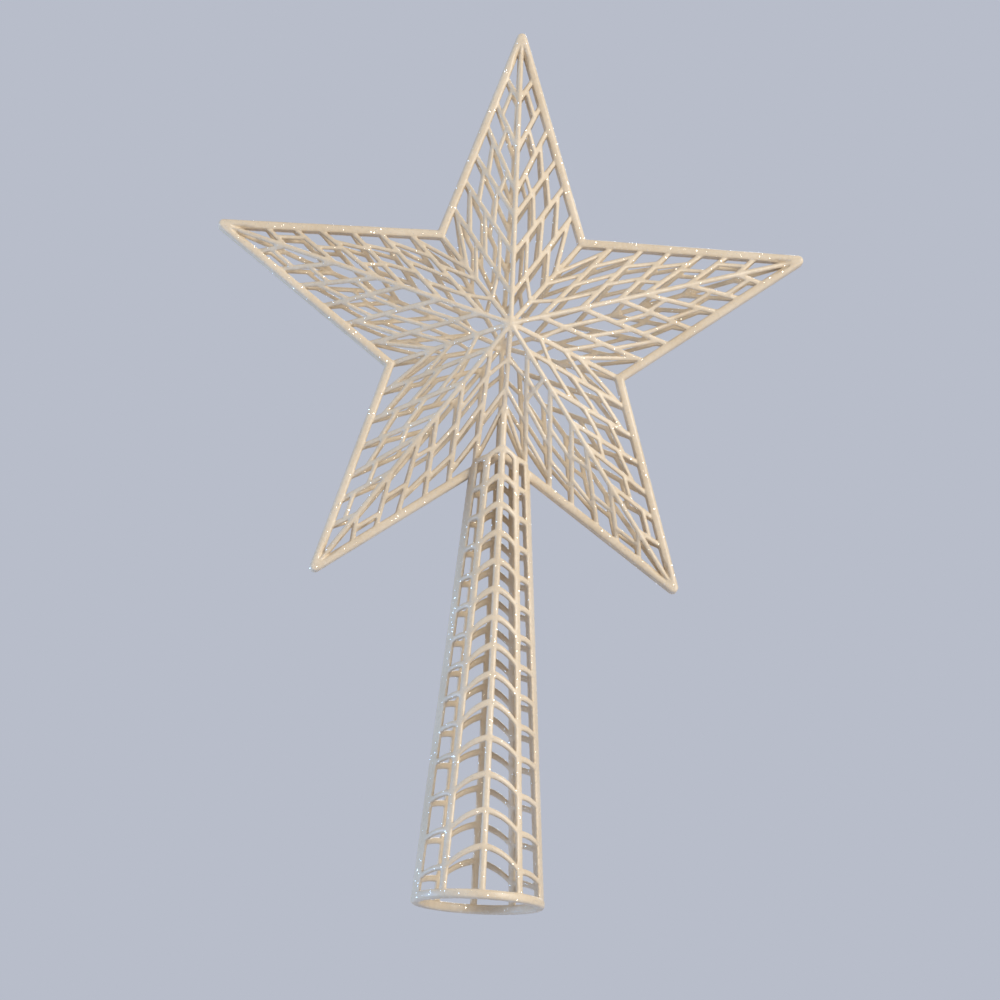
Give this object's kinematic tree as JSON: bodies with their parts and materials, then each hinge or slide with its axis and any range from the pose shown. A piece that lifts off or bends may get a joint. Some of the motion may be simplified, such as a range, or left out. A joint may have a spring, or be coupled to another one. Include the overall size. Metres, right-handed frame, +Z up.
{
  "type": "tree topper star",
  "caption": "Openwork five-pointed star with faceted leaf-vein lattice on both sides, moulded as two halves on a tapered lattice sleeve that slips over the top shoot of a tree.",
  "frame": {"origin": "middle of the round mouth at the bottom of the sleeve, on the sleeve's axis and on the seam between the halves", "axes": "+Z up the sleeve to the star's top point, -Y out of the front face, +X to the right as seen from the front"},
  "size_m": [0.1902, 0.0428, 0.2861],
  "materials": {
    "cream_plastic": "satin cream plastic with sparse glitter"
  },
  "bodies": {
    "back_half": {"back_left_panel_lower": "cream_plastic", "back_left_panel_upper": "cream_plastic", "back_left_rim_lower": "cream_plastic", "back_left_rim_upper": "cream_plastic", "back_lower_left_panel_inner": "cream_plastic", "back_lower_left_panel_outer": "cream_plastic", "back_lower_left_rim_inner": "cream_plastic", "back_lower_left_rim_outer": "cream_plastic", "back_lower_right_panel_inner": "cream_plastic", "back_lower_right_panel_outer": "cream_plastic", "back_lower_right_rim_inner": "cream_plastic", "back_lower_right_rim_outer": "cream_plastic", "back_right_panel_lower": "cream_plastic", "back_right_panel_upper": "cream_plastic", "back_right_rim_lower": "cream_plastic", "back_right_rim_upper": "cream_plastic", "back_ring": "cream_plastic", "back_sleeve_left_face": "cream_plastic", "back_sleeve_left_side": "cream_plastic", "back_sleeve_right_face": "cream_plastic", "back_sleeve_right_side": "cream_plastic", "back_tips": "cream_plastic", "back_top_panel_left": "cream_plastic", "back_top_panel_right": "cream_plastic", "back_top_rim_left": "cream_plastic", "back_top_rim_right": "cream_plastic"},
    "front_half": {"front_left_panel_lower": "cream_plastic", "front_left_panel_upper": "cream_plastic", "front_left_rim_lower": "cream_plastic", "front_left_rim_upper": "cream_plastic", "front_lower_left_panel_inner": "cream_plastic", "front_lower_left_panel_outer": "cream_plastic", "front_lower_left_rim_inner": "cream_plastic", "front_lower_left_rim_outer": "cream_plastic", "front_lower_right_panel_inner": "cream_plastic", "front_lower_right_panel_outer": "cream_plastic", "front_lower_right_rim_inner": "cream_plastic", "front_lower_right_rim_outer": "cream_plastic", "front_pegs": "cream_plastic", "front_right_panel_lower": "cream_plastic", "front_right_panel_upper": "cream_plastic", "front_right_rim_lower": "cream_plastic", "front_right_rim_upper": "cream_plastic", "front_ring": "cream_plastic", "front_sleeve_left_face": "cream_plastic", "front_sleeve_left_side": "cream_plastic", "front_sleeve_right_face": "cream_plastic", "front_sleeve_right_side": "cream_plastic", "front_tips": "cream_plastic", "front_top_panel_left": "cream_plastic", "front_top_panel_right": "cream_plastic", "front_top_rim_left": "cream_plastic", "front_top_rim_right": "cream_plastic"}
  },
  "joints": [
    {"name": "halves_part", "type": "slide", "parent": "back_half", "child": "front_half", "axis": [0, -1, 0], "range_m": [0, 0.02]}
  ]
}
